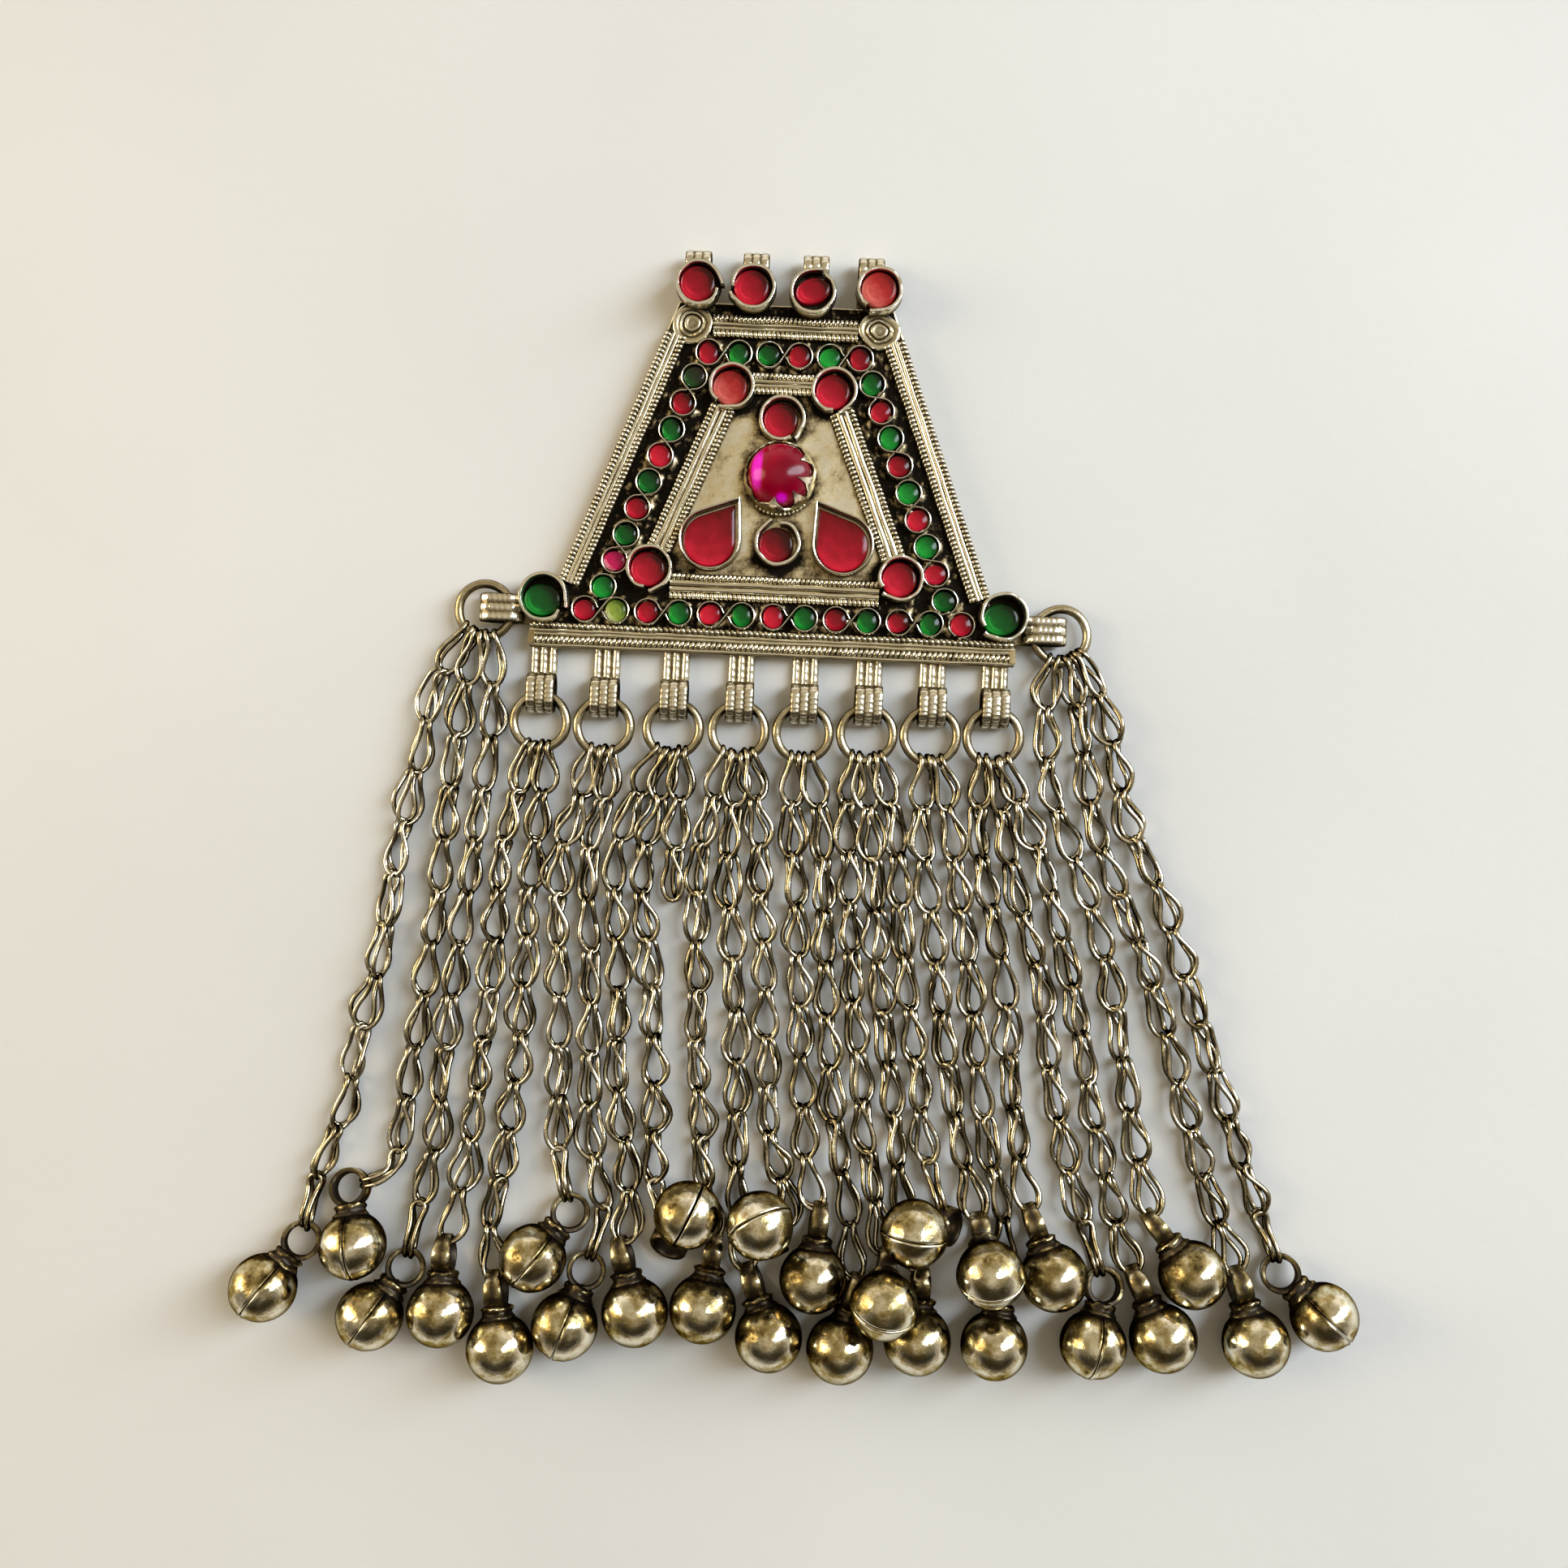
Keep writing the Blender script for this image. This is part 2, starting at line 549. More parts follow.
def make_sheet():
    """The sheet: a field inside the inner frame, and a dark channel with solder round it."""
    shape = Shape()
    step = 0.3
    rows = int(PLATE_H / step) + 1
    columns = int(2 * BOTTOM_HALF / step) + 1
    ys = np.linspace(PLATE_Y, PLATE_Y + PLATE_H, rows)
    x = np.linspace(-1, 1, columns)[None, :] * half_width(ys)[:, None]
    y = np.repeat(ys[:, None], columns, 1)
    low_half = 21
    top_half = 9.3
    frame_half = low_half - (y - FRAME_BOTTOM_Y) * (low_half - top_half) / (FRAME_TOP_Y - FRAME_BOTTOM_Y)
    inside = (y - FRAME_BOTTOM_Y) * (FRAME_TOP_Y - y) > 0
    field = (inside & (np.abs(x) < frame_half)).astype(float)
    rough = waves(x, y, 1.6, 5) * 0.5 + waves(x, y, 0.9, 9) * 0.5
    solder = np.zeros_like(x)
    for k, (bx, by) in enumerate(BORDER):
        away = np.clip(np.hypot(x - bx, y - by) - BORDER_R, 0, 9)
        patch = clip01(waves(x, y, 3.2, 11 + k % 5) * 1.4)
        solder = np.maximum(solder, np.exp(-(away / 0.55) ** 2) * patch)
    grit = clip01(waves(x, y, 4.5, 31) * 0.7 + waves(x, y, 2.0, 37) * 0.9 - 0.3)
    near = np.minimum(near_rings(x, y, FRAME_CORNERS + FIELD_SETTINGS, SETTING_R),
                      near_rings(x, y, [CROWN_AT], CROWN_R))
    edge = np.minimum(frame_half - np.abs(x), np.minimum(y - FRAME_BOTTOM_Y - 2, FRAME_TOP_Y - 2 - y))
    stain = 0.74 + 0.17 * waves(x, y, 8, 41) + 0.1 * waves(x, y, 2.8, 43)
    stain -= 0.5 * np.exp(-near ** 2) + 0.35 * np.exp(-(np.clip(edge - 2, 0, 9) / 1.2) ** 2)
    wear = field * stain + (1 - field) * (0.02 + 0.8 * solder + (0.3 + 0.3 * rough) * grit)
    rim = np.minimum(half_width(y) - np.abs(x), np.minimum(y - PLATE_Y, PLATE_Y + PLATE_H - y))
    wear = np.where(rim < 0.25, 0.8, wear)
    z = FACE_Z + field * 0.03 * waves(x, y, 9, 2) + (1 - field) * (0.07 * rough + grit * 0.1)
    z += solder * 0.4 - 0.25 * np.exp(-(rim / 0.25) ** 2)
    top = np.stack([x + AXIS_X, y, z], -1)
    n, m = x.shape
    shape.grid(top, clip01(wear))
    around = [(0, j) for j in range(m)] + [(i, m - 1) for i in range(1, n)]
    around += [(n - 1, j) for j in range(m - 2, -1, -1)] + [(i, 0) for i in range(n - 2, 0, -1)]
    below = np.array([top[at] for at in around])
    below[:, 2] = SHEET_Z + 0.02
    above = [i * m + j - n * m for i, j in around]
    count = len(around)
    sides = [(above[k], above[(k + 1) % count], (k + 1) % count, k) for k in range(count)]
    shape.add(below, sides + [tuple(range(count))], 0.62)
    make_piece("sheet", shape, field_metal, ["plate"])


def along_line(shape, a, b, s, lateral, z, wear, base):
    """A raised form from a to b: z and wear at places s along it and lateral to its right."""
    a = np.array(a, float)
    ahead = unit(np.array(b, float) - a)
    x = a[0] + ahead[0] * s[:, None] + ahead[1] * lateral
    y = a[1] + ahead[1] * s[:, None] - ahead[0] * lateral
    points = np.stack([x + AXIS_X, y, z], -1)
    ends = points[:, [-1, 0]].copy()
    ends[..., 2] = base - STRIP_BASE * 0.9
    shape.closed(np.concatenate([points, ends], 1), np.concatenate([wear, np.zeros((len(s), 2))], 1))


def beads(shape, a, b, off, radius, base, slant, pitch=0.7):
    """A milled wire from a to b, off to one side: short slanted strokes across it."""
    length = math.dist(a, b)
    s = np.linspace(0, length, int(length / pitch * 7) + 1)
    angles = np.radians(np.linspace(-12, 192, 9))
    phase = np.pi * (s[:, None] / pitch + slant * angles / np.pi)
    uneven = 0.1 * waves(s, s * 0 + off, 4, 12)[:, None]
    swell = 0.6 + (0.4 + uneven) * np.abs(np.sin(phase)) ** 0.7
    wander = 0.05 * waves(s, s * 0 + off, 7, 8)[:, None]
    outward = np.sign(np.cos(angles)) * np.abs(np.cos(angles)) ** 0.8
    lateral = off + wander + radius * (0.5 + 0.5 * swell) * outward
    z = base + radius * swell * np.clip(np.sin(angles), -1, 1)
    wear = clip01((swell - 0.68) / 0.26) * (0.3 + 0.7 * clip01(np.sin(angles)))
    along_line(shape, a, b, s, lateral, z, wear, base)


def ridge(shape, a, b, off, radius, base):
    """A smooth half-round wire from a to b."""
    length = math.dist(a, b)
    s = np.linspace(0, length, max(int(length / 0.8), 2))
    angles = np.radians(np.linspace(-10, 190, 9))
    wander = 0.06 * waves(s, s * 0 + off * 3, 11, 6)[:, None]
    r = radius * (1 + 0.06 * waves(s, s * 0, 3, 4))[:, None]
    wear = np.repeat((0.15 + 0.8 * clip01(np.sin(angles)) ** 1.5)[None, :], len(s), 0)
    along_line(shape, a, b, s, off + wander + r * np.cos(angles), base + r * np.sin(angles), wear, base)


def strip_bed(shape, a, b, w, base):
    """The flat metal that a strip's wires lie on."""
    a = np.array(a, float)
    b = np.array(b, float)
    ahead = unit(b - a)
    side = np.array([ahead[1], -ahead[0]]) * w / 2
    corners = [a + side, b + side, b - side, a - side]
    shape.closed([[(AXIS_X + p[0], p[1], z) for p in corners] for z in (ON_SHEET, base - 0.1)], 0.05)


def strip(shape, a, b, w, slant=0.65):
    """Two bead rows with a double ridge between them."""
    base = FACE_Z + STRIP_BASE
    row = 0.58
    strip_bed(shape, a, b, w, base)
    ridge_r = (w / 2 - 2 * row + 0.12) / 2
    for s in (-1, 1):
        beads(shape, a, b, s * (w / 2 - row), row, base, slant * s)
        ridge(shape, a, b, s * ridge_r * 0.98, ridge_r * 1.06, base + 0.04)


def folded_end(shape, x, y, sign):
    """The thin brass end of the lower strip, bent over the sheet's edge."""
    outline = [(0, -1.75), (0.95, -1.7), (1.05, -0.9), (1.0, 0.1), (0.1, 0.25)]
    levels = ((ON_SHEET, 0), (FACE_Z + 0.95, 0), (FACE_Z + 1.15, -0.12))
    shape.closed([[(x - sign * (dx + grow * (dx > 0.5)), y + dy, z) for dx, dy in outline]
                  for z, grow in levels], 0.45, 0.35)


def bottom_edge(shape, y):
    """The broad strip along the lower edge: beads, a grooved band, larger beads and a plain rim."""
    base = FACE_Z + STRIP_BASE
    ends = (-BOTTOM_HALF, y), (BOTTOM_HALF, y)
    strip_bed(shape, *ends, BOTTOM_W, base)
    beads(shape, *ends, -1.4, 0.5, base, 0.9, 0.86)
    for off in (-0.62, -0.08):
        ridge(shape, *ends, off, 0.34, base + 0.1)
    beads(shape, *ends, 0.78, 0.62, base, -0.85, 0.8)
    ridge(shape, *ends, 1.56, 0.33, base - 0.05)


def make_strips():
    inset = EDGE_W / 2 / math.cos(SIDE_ANGLE)
    top_x = half_width(SIDE_STRIP_Y[1]) - inset
    low_x = half_width(SIDE_STRIP_Y[0]) - inset
    edge = Shape()
    for s in (-1, 1):
        strip(edge, (s * top_x, SIDE_STRIP_Y[1]), (s * low_x, SIDE_STRIP_Y[0]), EDGE_W, 0.35 * s)
    strip(edge, (-TOP_STRIP_HALF, TOP_STRIP_Y), (TOP_STRIP_HALF, TOP_STRIP_Y), EDGE_W)
    bottom_y = PLATE_Y + BOTTOM_W / 2
    bottom_edge(edge, bottom_y)
    for s in (-1, 1):
        folded_end(edge, AXIS_X + s * (BOTTOM_HALF + 0.15), bottom_y + 0.3, s)
    make_piece("edge_strips", edge, plate_metal, ["plate"])
    inner = Shape()
    for s, top, low in ((-1, 0, 2), (1, 1, 3)):
        a = np.array(FRAME_CORNERS[top])
        b = np.array(FRAME_CORNERS[low])
        u = (b - a) / np.linalg.norm(b - a)
        strip(inner, a + u * STRIP_INSET, b - u * STRIP_INSET, FRAME_W, 0.35 * s)
    strip(inner, (-FRAME_TOP_HALF, FRAME_TOP_Y), (FRAME_TOP_HALF, FRAME_TOP_Y), EDGE_W)
    strip(inner, (-FRAME_BOTTOM_HALF, FRAME_BOTTOM_Y), (FRAME_BOTTOM_HALF, FRAME_BOTTOM_Y), FRAME_W)
    make_piece("frame_strips", inner, plate_metal, ["plate"])


# Settings: bent bands with an open joint

def open_band(shape, centre, r, wall, low, high, joint, gap=14, flare=0.35, seed=1):
    """A round setting: joint is where its two ends meet, in degrees."""
    count = 76
    angles = np.radians(np.linspace(joint + gap / 2, joint + 360 - gap / 2, count))
    k = np.arange(count)
    end = np.minimum(k, count - 1 - k)
    push = flare * np.exp(-(end / 3.0) ** 2) * np.where(k < count / 2, 1, -0.6)
    mid = r - wall / 2
    radius = np.minimum(mid + push + 0.05 * ring_waves(angles, 4, 6, seed), mid + 0.12 + np.maximum(push, 0))
    band(shape, circle(angles, radius, 0, centre)[:, :2], wall, low, high, False, seed)


def drop_path(r_share, count=40):
    """Plan of the right-hand drop about its centre: a round end and two sides that meet at its tip."""
    v = np.subtract(DROP_TIP, DROP_AT)
    bear = math.degrees(math.atan2(v[1], v[0]))
    turn = math.degrees(math.acos(DROP_R / math.hypot(*v)))
    tip = v * r_share
    round_end = arc((0, 0), DROP_R * r_share, bear + turn, bear + 360 - turn, count)
    t = np.linspace(0, 1, 9)[1:-1, None]
    up = round_end[-1] + (tip - round_end[-1]) * t
    down = tip + (round_end[0] - tip) * t
    return np.vstack([round_end, up, tip, down])


def make_settings():
    shape = Shape()
    wall = 0.62
    for k, (at, joint) in enumerate(zip(on_plate(FRAME_CORNERS), (235, 275, 265, 215))):
        open_band(shape, at, SETTING_R, wall, ON_SHEET, SETTING_RIM, joint, seed=k)
    for k, (at, joint, gap) in enumerate(zip(on_plate(FIELD_SETTINGS), (300, 95), (8, 22))):
        open_band(shape, at, SETTING_R, wall, ON_SHEET, SETTING_RIM, joint, gap, seed=k + 5)
    floor_r = CORNER_SETTING_R - 0.05
    for k, (at, joint) in enumerate(zip(on_plate(CORNER_SETTINGS), (330, 215))):
        lathe(shape, at, [(floor_r, SHEET_Z, 0.3), (floor_r, FACE_Z, 0.0)])
        open_band(shape, at, CORNER_SETTING_R, wall, ON_SHEET, CORNER_RIM, joint, seed=k + 8)
    floor_r = TOP_SETTING_R - 0.1
    for k, (at, joint) in enumerate(zip(on_plate(TOP_SETTINGS), (350, 190, 60, 240))):
        lathe(shape, (at[0], at[1] - 0.8), [(2.5, SHEET_Z, 0.2), (2.3, TOP_FLOOR_Z, 0.2)], 32)
        lathe(shape, at, [(floor_r, TOP_FLOOR_Z, 0.3), (floor_r, 4.3, 0.1)])
        open_band(shape, at, TOP_SETTING_R, wall, TOP_FLOOR_Z, TOP_RIM, joint, seed=k + 12)
    for s in (-1, 1):
        path = (drop_path(1 - 0.2 / DROP_R) + DROP_AT) * (s, 1) + (AXIS_X, 0)
        band(shape, path, 0.42, ON_SHEET, DROP_RIM, True, seed=20 + s)
    make_piece("settings", shape, rim_metal, ["plate"])


def hook_pair(a, b, r):
    """A band that runs round one stone, crosses over and runs round the next."""
    count = 26
    a = np.array(a)
    b = np.array(b)
    v = b - a
    bear = math.degrees(math.atan2(v[1], v[0]))
    open_half = math.degrees(math.acos(min(2 * r / math.hypot(*v), 0.98)))
    first = arc(a, r, bear + open_half * 0.2, bear + 360 - open_half, count)
    second = arc(b, r, bear + 180 - open_half, bear - 180 + open_half * 0.2, count)
    middle = (first[-1] + second[0]) / 2
    first[0] += (first[0] - a) * 0.06
    second[-1] += (second[-1] - b) * 0.1
    return np.vstack([first, middle, second])


def make_border_settings():
    shape = Shape()
    wall = 0.28
    for n, run in enumerate((BORDER_TOP, BORDER_BOTTOM, BORDER_LEFT, BORDER_RIGHT)):
        for k in range(0, len(run), 2):
            pair = on_plate(run[k:k + 2])
            if len(pair) == 2:
                path = hook_pair(*(pair if (k // 2 + n) % 2 else pair[::-1]), BORDER_R + 0.12 - wall / 2)
                band(shape, path, wall, ON_SHEET, BORDER_RIM, False, seed=30 + k)
            else:
                open_band(shape, pair[0], BORDER_R + 0.1, wall, ON_SHEET, BORDER_RIM, 250, 12, 0.15, 41)
    make_piece("border_settings", shape, rim_metal, ["plate"])


# The dome bulges over the low side of its crown
DOME_MID = 3.7
DOME_WIDE = 5.02
DOME_TALL = 4.1


def dome_reach(z):
    return DOME_WIDE * np.sqrt(np.clip(1 - ((z - DOME_MID) / DOME_TALL) ** 2, 0.01, 1))


# The teeth of the crown, anticlockwise from the right: angle, half width and height
CROWN_TEETH = [(33, 24, 4.8), (-14, 26, 5.2), (-52, 20, 4.9), (-100, 34, 4.6), (-148, 22, 3.2), (80, 26, 2.7),
               (128, 24, 2.6), (176, 26, 2.9)]


def make_crown():
    """A thin torn collar: its teeth are pressed over the dome on its right and lower sides."""
    shape = Shape()
    levels = 14
    angles = turn_round(280)
    height = np.full(len(angles), 1.9)
    for at, half, tall in CROWN_TEETH:
        away = np.abs((np.degrees(angles) - at + 180) % 360 - 180) / half
        height = np.maximum(height, 1.9 + (tall - 1.9) * clip01(1 - away) ** 1.15)
    height = height + 0.3 * ring_waves(angles, 6, 3.1, 17)
    side = 0.5 + 0.5 * np.cos(angles - math.radians(-25))
    centre = (AXIS_X + CROWN_AT[0], CROWN_AT[1])
    rows = []
    wear = []
    for outer in (True, False):
        for k in range(levels + 1):
            t = k / levels if outer else 1 - k / levels
            z = ON_SHEET + height * t
            reach = np.minimum(CROWN_R + 0.3 - 0.2 * t, dome_reach(z) + 0.38)
            reach = np.where(z < 4.0, np.maximum(reach, CROWN_R + 0.1), reach)
            reach = reach + 0.07 * ring_waves(angles, 5, 2.5, 21, z) - (0 if outer else 0.24)
            rows.append(circle(angles, reach, z, centre))
            wear.append(0.2 + (0.25 + 0.55 * side) * t ** 0.5 if outer else 0.3 + 0 * angles)
    shape.grid(rows, clip01(wear), wrap_rows=True, wrap=True)
    for k in range(13):
        middle = FACE_Z + 1.0 + 0.1 * math.sin(3 * k)
        foot = circle(math.radians(6.6 * k - 126), CROWN_R + 0.28, middle, centre)
        rod = [foot + np.array([0, 0, up]) for up in (-0.6, -0.2, 0, 0.2)]
        tube(shape, rod, (0.3, 0.3, 0.27, 0.1), 8, False, 0.8)
    make_piece("crown", shape, plate_metal, ["plate"], sharp=60)


def make_rosettes():
    shape = Shape()
    profile = [
        (3.1, ON_SHEET, 0.1), (3.1, 2.6, 0.5), (3.02, 2.85, 0.85), (2.85, 2.95, 0.9), (2.55, 2.93, 0.65),
        (2.3, 2.87, 0.55), (2.1, 2.8, 0.3), (2.0, 2.9, 0.4), (1.88, 3.17, 0.9), (1.74, 3.28, 1),
        (1.6, 3.17, 0.9), (1.48, 2.92, 0.25), (1.38, 2.82, 0.08), (1.28, 2.92, 0.4), (1.16, 3.08, 0.9),
        (1.0, 3.12, 0.85), (0.8, 3.04, 0.5), (0.55, 3.0, 0.42), (0.25, 3.03, 0.5),
    ]
    for k, at in enumerate(on_plate(ROSETTES)):
        lathe(shape, at, profile, 72, uneven=(0.05, 0.1)[k], seed=50 + k)
    make_piece("rosettes", shape, plate_metal, ["plate"], sharp=60)


# Bails

REEDS = 3
REED_RISE = 0.27
REED_PITCH = 0.85


def reeded(shape, path, width, place, inner=0.62):
    """A band of ridges round a closed outline; place turns its length, height and side into space."""
    normals = plan_normals(path, True)
    if np.sum(normals * (path - path.mean(0))) < 0:
        normals = -normals
    steps = np.linalg.norm(np.roll(path, -1, 0) - path, axis=1)
    run = (np.cumsum(steps) - steps)[:, None]
    pitch = steps.sum() / round(steps.sum() / REED_PITCH)
    across = np.linspace(-0.5, 0.5, 7 * REEDS)
    lobe = (across + 0.5) * REEDS
    index = np.clip(np.floor(lobe), 0, REEDS - 1)
    arch = np.sqrt(clip01(1 - (2 * (lobe - index) - 1) ** 2))
    phase = np.pi * run / pitch + 1.3 * index + 0.5 * np.sin(run * 1.1 + index)
    lift = REED_RISE * arch * (0.66 + 0.34 * np.abs(np.sin(phase)) ** 0.8)
    outer = path[:, None] + normals[:, None] * lift[..., None]
    inside = np.repeat((path - normals * inner)[:, None], 4, 1)
    flat = np.concatenate([outer, inside], 1)
    side = np.broadcast_to(np.concatenate([across, np.linspace(0.5, -0.5, 4)]) * width, flat.shape[:2])
    wear = clip01((lift / REED_RISE) ** 1.3 * 1.15 - 0.12)
    wear = np.concatenate([wear, np.full((len(path), 4), 0.1)], 1)
    shape.grid(place(flat[..., 0], flat[..., 1], side), wear, wrap_rows=True, wrap=True)


def stadium(length, height, lift):
    """Outline of a flat loop, round at both ends."""
    step = 0.17
    r = height / 2
    straight = length - height
    ends = int(math.pi * r / step)
    run = np.linspace(0, straight, max(int(straight / step), 2) + 1)[1:-1]
    lower = np.column_stack([r + run, lift - r + 0 * run])
    upper = np.column_stack([length - r - run, lift + r + 0 * run])
    near_end = arc((r, lift), r, 90, 270, ends)
    far_end = arc((length - r, lift), r, -90, 90, ends)
    return np.vstack([near_end, lower, far_end, upper])


def box_strap(shape, x0, x1, y0, y1, z0, z1):
    corners = [(x0, y0), (x1, y0), (x1, y1), (x0, y1)]
    shape.closed([[(x, y, z) for x, y in corners] for z in (z0, z1)], 0.35)


def make_bails():
    shape = Shape()
    t = np.arange(24)
    for x, y in BOTTOM_RINGS:
        start = y + BAIL_REACH - 0.1
        end = start + BOTTOM_BAIL_L
        reeded(shape, stadium(BOTTOM_BAIL_L, BAIL_H - 0.15, 2.16), BAIL_W - 0.2,
               lambda along, up, side: np.stack([x + side, start + along, up], -1))
        for k in (-1, 0, 1):
            rib = x + k * 1.42
            path = np.linspace((rib, end - 0.5, 0.78), (rib, end - 0.1 + BOTTOM_STRAP_L, 0.78), len(t))
            swell = 0.62 + 0.03 * np.sin(t * 1.7 + k) + 0.02 * np.sin(t * 4.1 + x)
            tube(shape, path, swell, 10, False, 0.45, rub=0.4)
        box_strap(shape, x - 1.9, x + 1.9, end - 0.6, end + BOTTOM_STRAP_L, 0.1, 0.9)
    make_piece("bottom_bails", shape, bail_metal, ["plate"])
    shape = Shape()
    for s in (-1, 1):
        length = SIDE_BAIL_X[1] - SIDE_BAIL_X[0]
        end = AXIS_X + s * SIDE_BAIL_X[1]
        reeded(shape, stadium(length, BAIL_H - 0.15, 2.16), BAIL_W - 0.2,
               lambda along, up, side: np.stack([end - s * along, SIDE_BAIL_Y + side, up], -1))
        strap = sorted((end - s * (length - 0.7), end - s * (length + SIDE_STRAP_L)))
        box_strap(shape, *strap, SIDE_BAIL_Y - 2.1, SIDE_BAIL_Y + 2.1, 0.1, STRAP_T)
    ring = arc((0, 0), TOP_BAIL_R - 0.24, 0, 360, 57)[:-1]
    for x in TOP_BAILS:
        centre = AXIS_X + x
        reeded(shape, ring, TOP_BAIL_W - 0.1,
               lambda along, up, side: np.stack([centre + side, TOP_BAIL_Y + along, TOP_BAIL_R + up], -1),
               inner=0.46)
        box_strap(shape, centre - 2, centre + 2, TOP_STRAP_FROM, TOP_BAIL_Y - TOP_BAIL_R + 0.5, 0.0, STRAP_T)
    make_piece("side_and_top_bails", shape, bail_metal, ["plate"])


# Stones

# From the foot of a flat stone to its middle: share of its radius, share of its height
STONE_ROWS = [(1, 0), (1, 0.7), (0.985, 0.84), (0.95, 0.93), (0.88, 0.985), (0.8, 1), (0.73, 1), (0.67, 1),
              (0.58, 1), (0.3, 1)]
LIT_SIDE = math.radians(218)


def flat_stone(shape, centre, r, low, high, glow, dome, segments=40, shift=(-0.2, -0.17), squash=1.0,
               turn=0.0, shade=0.0):
    """A flat glass stone with a rounded edge. Light gathers on its side away from the window."""
    angles = turn_round(segments)
    rows = []
    marks = []
    for share, rise in STONE_ROWS:
        x, y = turned(r * share * np.cos(angles), r * share * np.sin(angles) * squash, turn)
        z = low + (high - low) * rise + dome * (1 - share ** 2) * (rise > 0.9)
        rows.append(np.stack([centre[0] + shift[0] + x, centre[1] + shift[1] + y, np.full(segments, z)], -1))
        lit = np.cos(np.arctan2(y, x) - LIT_SIDE)
        mark = 0.44 - 0.36 * (0.7 * x + 0.6 * y) / r + glow
        mark += 0.35 * clip01(lit - 0.2) * (0.82 < share < 1)
        mark += 0.5 * clip01(lit - 0.5) * (0.66 < share < 0.75)
        marks.append(clip01(mark - 0.16 * clip01(-lit) * (share > 0.6)))
    shape.closed(rows, marks, [min(shade + 0.6 * (rise < 0.5), 1) for _, rise in STONE_ROWS])


# Stones of another colour or a darker one, by their place in the lists
SALMON_FRAME = 0
SALMON_TOP = 3
PALE_BORDER = 7
DARK_BORDER = 19
# The stones along the upper edge: glow, squash and shift
TOP_STONES = [(-0.05, 1, (-0.15, -0.1)), (0.05, 1, (-0.2, -0.1)), (0.0, 0.72, (0, 0.1)), (0.1, 1, (-0.1, 0))]
PINK_BORDER = 26


def make_dome():
    shape = Shape()
    angles = turn_round(80)
    low = math.asin((STONE_FOOT - DOME_MID) / DOME_TALL)
    points = np.array([circle(angles, DOME_WIDE * math.cos(a), DOME_MID + DOME_TALL * math.sin(a))
                       for a in np.linspace(low, math.radians(88.5), 30)])
    x = points[..., 0] / DOME_WIDE
    y = points[..., 1] / DOME_WIDE
    crescent = np.exp(-((x + 0.7 - 0.16 * y * y) / 0.15) ** 4) * clip01(1.3 - np.abs(y - 0.08) * 1.7)
    spot = np.exp(-(((x - 0.08) / 0.17) ** 2 + ((y + 0.74) / 0.13) ** 2))
    edge = 0.25 * ease((np.hypot(x, y) - 0.86) / 0.14)
    glow = clip01(0.3 - 0.12 * x + 0.85 * crescent + spot - edge)
    shape.closed(points + (AXIS_X + CROWN_AT[0], CROWN_AT[1], 0), glow)
    make_piece("dome_stone", shape, magenta, ["cabochon"])


def make_drops():
    shape = Shape()
    outline = drop_path(1.0, 48)
    limit = 1 - (SETTING_WALL + STONE_GAP) / DROP_R
    for s in (-1, 1):
        rows = []
        marks = []
        for share, rise in [(1, 0), (1, 0.75), (0.97, 0.92), (0.9, 1), (0.6, 1.02), (0.25, 1.03)]:
            path = outline * (limit * share - 0.03)
            x = s * path[:, 0]
            y = path[:, 1]
            z = np.full(len(path), STONE_FOOT + 1.45 * rise)
            rows.append(np.column_stack([AXIS_X + s * DROP_AT[0] + x - 0.08, DROP_AT[1] + y - 0.18, z]))
            lean = np.clip((y + 0.4 * x) / 5, -1, 1)
            lip = 0.12 * (share == 0.9) * (lean < -0.3)
            marks.append(clip01(0.5 - 0.34 * lean * (0.4 + 0.6 * share) + lip))
        shape.closed(rows, marks)
    make_piece("drop_glass", shape, ruby, ["drop_stones"])


def make_red_stones():
    red = Shape()
    light_red = Shape()
    glows = (0.1, 0.1, 0.05, 0.12, 0.0, -0.2)
    for k, (at, glow) in enumerate(zip(on_plate(FRAME_CORNERS + FIELD_SETTINGS), glows)):
        flat_stone(light_red if k == SALMON_FRAME else red, at, SETTING_R - 0.92, STONE_FOOT, FACE_Z + 1.5,
                   glow, dome=0.1)
    low = TOP_FLOOR_Z + 0.4 + STONE_GAP
    for k, (at, (glow, squash, shift)) in enumerate(zip(on_plate(TOP_SETTINGS), TOP_STONES)):
        flat_stone(light_red if k == SALMON_TOP else red, at, TOP_SETTING_R - 0.85, low, low + 1.5,
                   glow, dome=0.15, squash=squash, turn=0.3, shift=shift)
    make_piece("round_red_glass", red, ruby, ["red_stones"])
    make_piece("round_salmon_glass", light_red, salmon, ["red_stones"])


def make_corner_stones():
    shape = Shape()
    for at in on_plate(CORNER_SETTINGS):
        flat_stone(shape, at, CORNER_SETTING_R - 0.95, STONE_FOOT, FACE_Z + 1.6, -0.05, dome=0.1,
                   segments=56, shift=(-0.25, -0.35), squash=0.87)
    make_piece("corner_green_glass", shape, emerald, ["corner_stones"])


